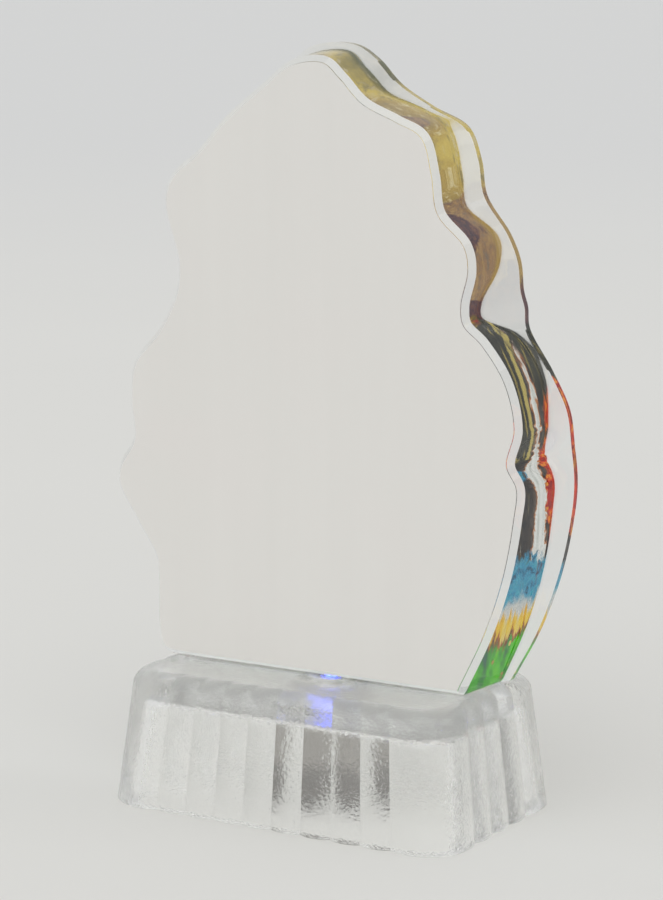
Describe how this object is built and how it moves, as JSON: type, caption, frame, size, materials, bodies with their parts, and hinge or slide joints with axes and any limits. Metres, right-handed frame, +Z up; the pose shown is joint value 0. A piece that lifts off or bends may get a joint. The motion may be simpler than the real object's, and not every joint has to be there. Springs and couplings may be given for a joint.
{
  "type": "illuminated glass picture frame",
  "caption": "Clear glass plaque with a wavy edge and a picture bonded to its back, on a fluted clear base with a battery light unit inside.",
  "frame": {"origin": "centre of the base's underside, on the surface that the frame stands on", "axes": "+Z up the plaque; the picture is looked at from -Y and its white backing faces +Y; X runs along the base's long side"},
  "size_m": [0.12, 0.0582, 0.1822],
  "materials": {
    "clear_glass": "polished",
    "clear_plastic": "moulded, hammered ripple",
    "clear_glue": "cured clear adhesive",
    "picture_ink": "printed picture",
    "white_film": "satin vinyl",
    "foam_tape": "foam",
    "grey_case": "fine spark texture",
    "dark_case": "fine spark texture",
    "board": "solder resist",
    "led_epoxy": "clear epoxy, lit blue",
    "tinned_steel": "tinned",
    "cell_steel": "nickel plated",
    "resistor_body": "lacquer",
    "black_plastic": "moulded",
    "red_wire": "insulation",
    "black_wire": "insulation"
  },
  "bodies": {
    "root": {"glass_plaque": "clear_glass", "picture_print": "picture_ink", "backing_film": "white_film", "plaque_glue": "clear_glue", "base_shell": "clear_plastic", "mounting_tape": "foam_tape", "unit_case_top": "grey_case", "battery_box": "dark_case", "circuit_board": "board", "led_bulb": "led_epoxy", "led_anode_lead": "tinned_steel", "led_cathode_lead": "tinned_steel", "resistor": "resistor_body", "button_cell_1": "cell_steel", "button_cell_2": "cell_steel", "button_cell_3": "cell_steel", "positive_contact": "tinned_steel", "negative_spring": "tinned_steel", "switch_body": "tinned_steel", "switch_wire_red": "red_wire", "switch_wire_black": "black_wire"},
    "battery_door": {"battery_door": "dark_case"},
    "switch_knob": {"switch_knob": "black_plastic"}
  },
  "joints": [
    {"name": "battery_door_slide", "type": "slide", "parent": "root", "child": "battery_door", "axis": [1, 0, 0], "range_m": [0, 0.0125]},
    {"name": "switch_slide", "type": "slide", "parent": "root", "child": "switch_knob", "axis": [1, 0, 0], "range_m": [0, 0.002]}
  ]
}
